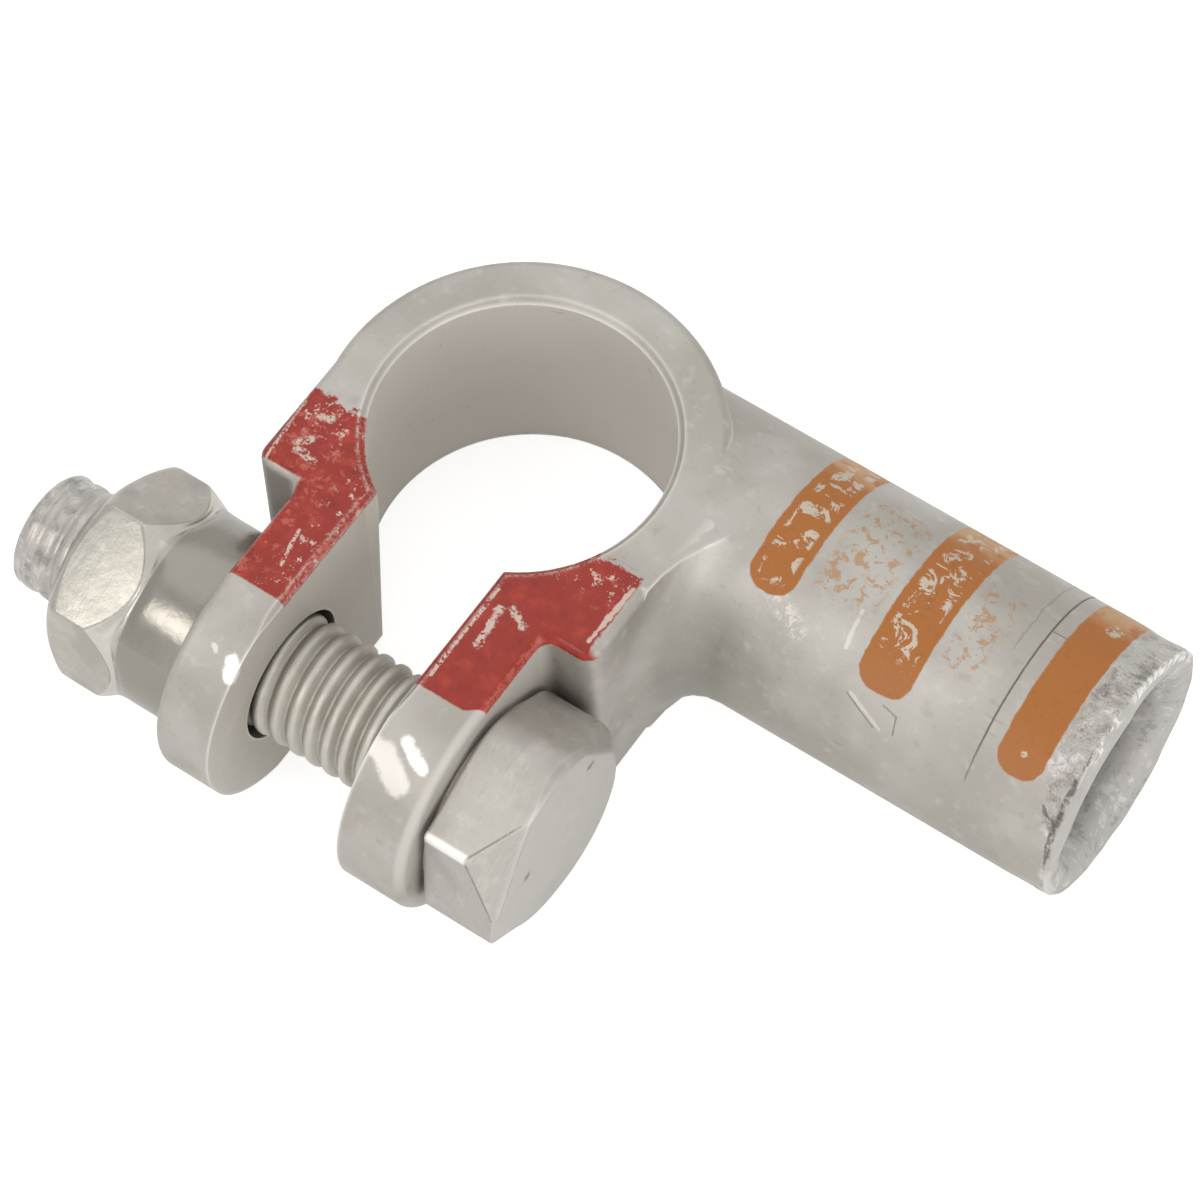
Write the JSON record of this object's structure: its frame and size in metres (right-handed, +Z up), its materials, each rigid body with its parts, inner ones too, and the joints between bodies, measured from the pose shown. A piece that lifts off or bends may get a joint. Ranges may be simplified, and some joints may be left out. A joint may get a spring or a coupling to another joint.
{
  "type": "battery terminal clamp",
  "caption": "Split ring clamp for a tapered battery post, drawn together by a bolt and collar nut, with a round cable barrel.",
  "frame": {"origin": "centre of the tapered post bore at the clamp's lower face, its wide end", "axes": "+Z up along the post, +X along the cable barrel towards its mouth, -Y towards the ears and the bolt"},
  "size_m": [0.063, 0.0383, 0.0166],
  "materials": {
    "tinned_brass": "satin, cast and tin plated",
    "plated_steel": "satin, zinc plated"
  },
  "bodies": {
    "clamp": {"clamp_body": "tinned_brass"},
    "bolt": {"clamp_bolt": "plated_steel"},
    "nut": {"collar_nut": "plated_steel"}
  },
  "joints": [
    {"name": "nut_turn", "type": "hinge", "parent": "clamp", "child": "nut", "pos_m": [0, -0.0174, 0.0083], "axis": [-1, 0, 0], "range_deg": [0, 2880]},
    {"name": "bolt_travel", "type": "slide", "parent": "clamp", "child": "bolt", "axis": [1, 0, 0], "range_m": [0, 0.01]}
  ],
  "couplings": [
    {"joint": "bolt_travel", "follows": "nut_turn", "m_per_rad": 0.00019894}
  ]
}
